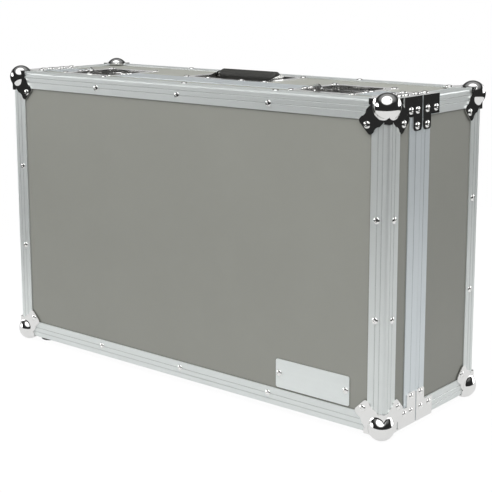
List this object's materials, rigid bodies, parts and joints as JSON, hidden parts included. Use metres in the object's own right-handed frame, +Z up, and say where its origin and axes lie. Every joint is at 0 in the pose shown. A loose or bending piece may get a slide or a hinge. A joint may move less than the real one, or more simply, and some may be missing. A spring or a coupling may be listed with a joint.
{
  "type": "pedalboard flight case",
  "caption": "Upright guitar pedal flight case: laminated panels in aluminium edging, ball corners, a hinged lid with twist latches and a recessed carrying handle.",
  "frame": {"origin": "middle of the case's box, on the ground under the feet", "axes": "+Z up, +X along the case's length to the right as seen from the front, +Y from the lid's front face towards the back"},
  "size_m": [0.7404, 0.2506, 0.4605],
  "materials": {
    "laminate": "satin",
    "edge_aluminium": "satin",
    "rim_aluminium": "satin",
    "corner_chrome": "polished",
    "foam": "matte",
    "foot_rubber": "matte",
    "rivet_steel": "polished",
    "dish_steel": "satin",
    "plate_aluminium": "satin",
    "plated_steel": "satin",
    "grip_rubber": "matte",
    "latch_steel": "polished"
  },
  "bodies": {
    "base": {"base_back_panel": "laminate", "base_top_panel": "laminate", "base_bottom_panel": "laminate", "base_left_panel": "laminate", "base_right_panel": "laminate", "base_long_trim": "edge_aluminium", "base_upright_trim": "edge_aluminium", "base_depth_trim": "edge_aluminium", "base_closing_rim": "rim_aluminium", "base_ball_corners": "corner_chrome", "base_rim_braces": "corner_chrome", "base_foam_pad": "foam", "base_foam_walls": "foam", "base_foam_top": "foam", "base_feet": "foot_rubber", "base_foot_screws": "plated_steel", "base_rivets": "rivet_steel", "base_hinge_leaves": "plated_steel", "hinge_pins": "plated_steel", "handle_dish": "dish_steel", "handle_brackets": "plated_steel", "handle_pins": "plated_steel", "latch_dishes": "dish_steel", "latch_guides": "plated_steel", "latch_studs": "plated_steel"},
    "handle": {"handle_bail": "plated_steel", "handle_grip": "grip_rubber"},
    "latch_left_turn": {"latch_left_cam": "latch_steel", "latch_left_pin": "plated_steel"},
    "latch_left_wing": {"latch_left_wing": "latch_steel"},
    "latch_left_hook": {"latch_left_hook": "plated_steel"},
    "latch_right_turn": {"latch_right_cam": "latch_steel", "latch_right_pin": "plated_steel"},
    "latch_right_wing": {"latch_right_wing": "latch_steel"},
    "latch_right_hook": {"latch_right_hook": "plated_steel"},
    "lid": {"lid_front_panel": "laminate", "lid_top_panel": "laminate", "lid_bottom_panel": "laminate", "lid_left_panel": "laminate", "lid_right_panel": "laminate", "lid_long_trim": "edge_aluminium", "lid_upright_trim": "edge_aluminium", "lid_depth_trim": "edge_aluminium", "lid_closing_rim": "rim_aluminium", "lid_ball_corners": "corner_chrome", "lid_rim_braces": "corner_chrome", "lid_foam_pad": "foam", "lid_foam_walls": "foam", "lid_foam_top": "foam", "lid_feet": "foot_rubber", "lid_foot_screws": "plated_steel", "lid_rivets": "rivet_steel", "lid_hinge_leaves": "plated_steel", "keeper_dishes": "dish_steel", "keepers": "plated_steel", "name_plate": "plate_aluminium"}
  },
  "joints": [
    {"name": "lid_hinge", "type": "hinge", "parent": "base", "child": "lid", "pos_m": [0, -0.039, 0.0063], "axis": [1, 0, 0], "range_deg": [0, 170]},
    {"name": "handle_swing", "type": "hinge", "parent": "base", "child": "handle", "pos_m": [0, 0.011, 0.442], "axis": [1, 0, 0], "range_deg": [0, 90], "stiffness_Nm_per_rad": 0.25, "springref_deg": -22.92},
    {"name": "latch_left_turn", "type": "hinge", "parent": "base", "child": "latch_left_turn", "pos_m": [-0.2276, -0.0097, 0.44], "axis": [0, 0, 1], "range_deg": [0, 180]},
    {"name": "latch_left_fold", "type": "hinge", "parent": "latch_left_turn", "child": "latch_left_wing", "pos_m": [-0.2276, -0.0157, 0.4461], "axis": [1, 0, 0], "range_deg": [0, 90]},
    {"name": "latch_left_slide", "type": "slide", "parent": "base", "child": "latch_left_hook", "axis": [0, 0.9337, -0.3579], "range_m": [0, 0.00643]},
    {"name": "latch_right_turn", "type": "hinge", "parent": "base", "child": "latch_right_turn", "pos_m": [0.2276, -0.0097, 0.44], "axis": [0, 0, 1], "range_deg": [0, 180]},
    {"name": "latch_right_fold", "type": "hinge", "parent": "latch_right_turn", "child": "latch_right_wing", "pos_m": [0.2276, -0.0157, 0.4461], "axis": [1, 0, 0], "range_deg": [0, 90]},
    {"name": "latch_right_slide", "type": "slide", "parent": "base", "child": "latch_right_hook", "axis": [0, 0.9337, -0.3579], "range_m": [0, 0.00643]}
  ],
  "couplings": [
    {"joint": "latch_left_slide", "follows": "latch_left_turn", "m_per_rad": 0.0020454},
    {"joint": "latch_right_slide", "follows": "latch_right_turn", "m_per_rad": 0.0020454}
  ]
}
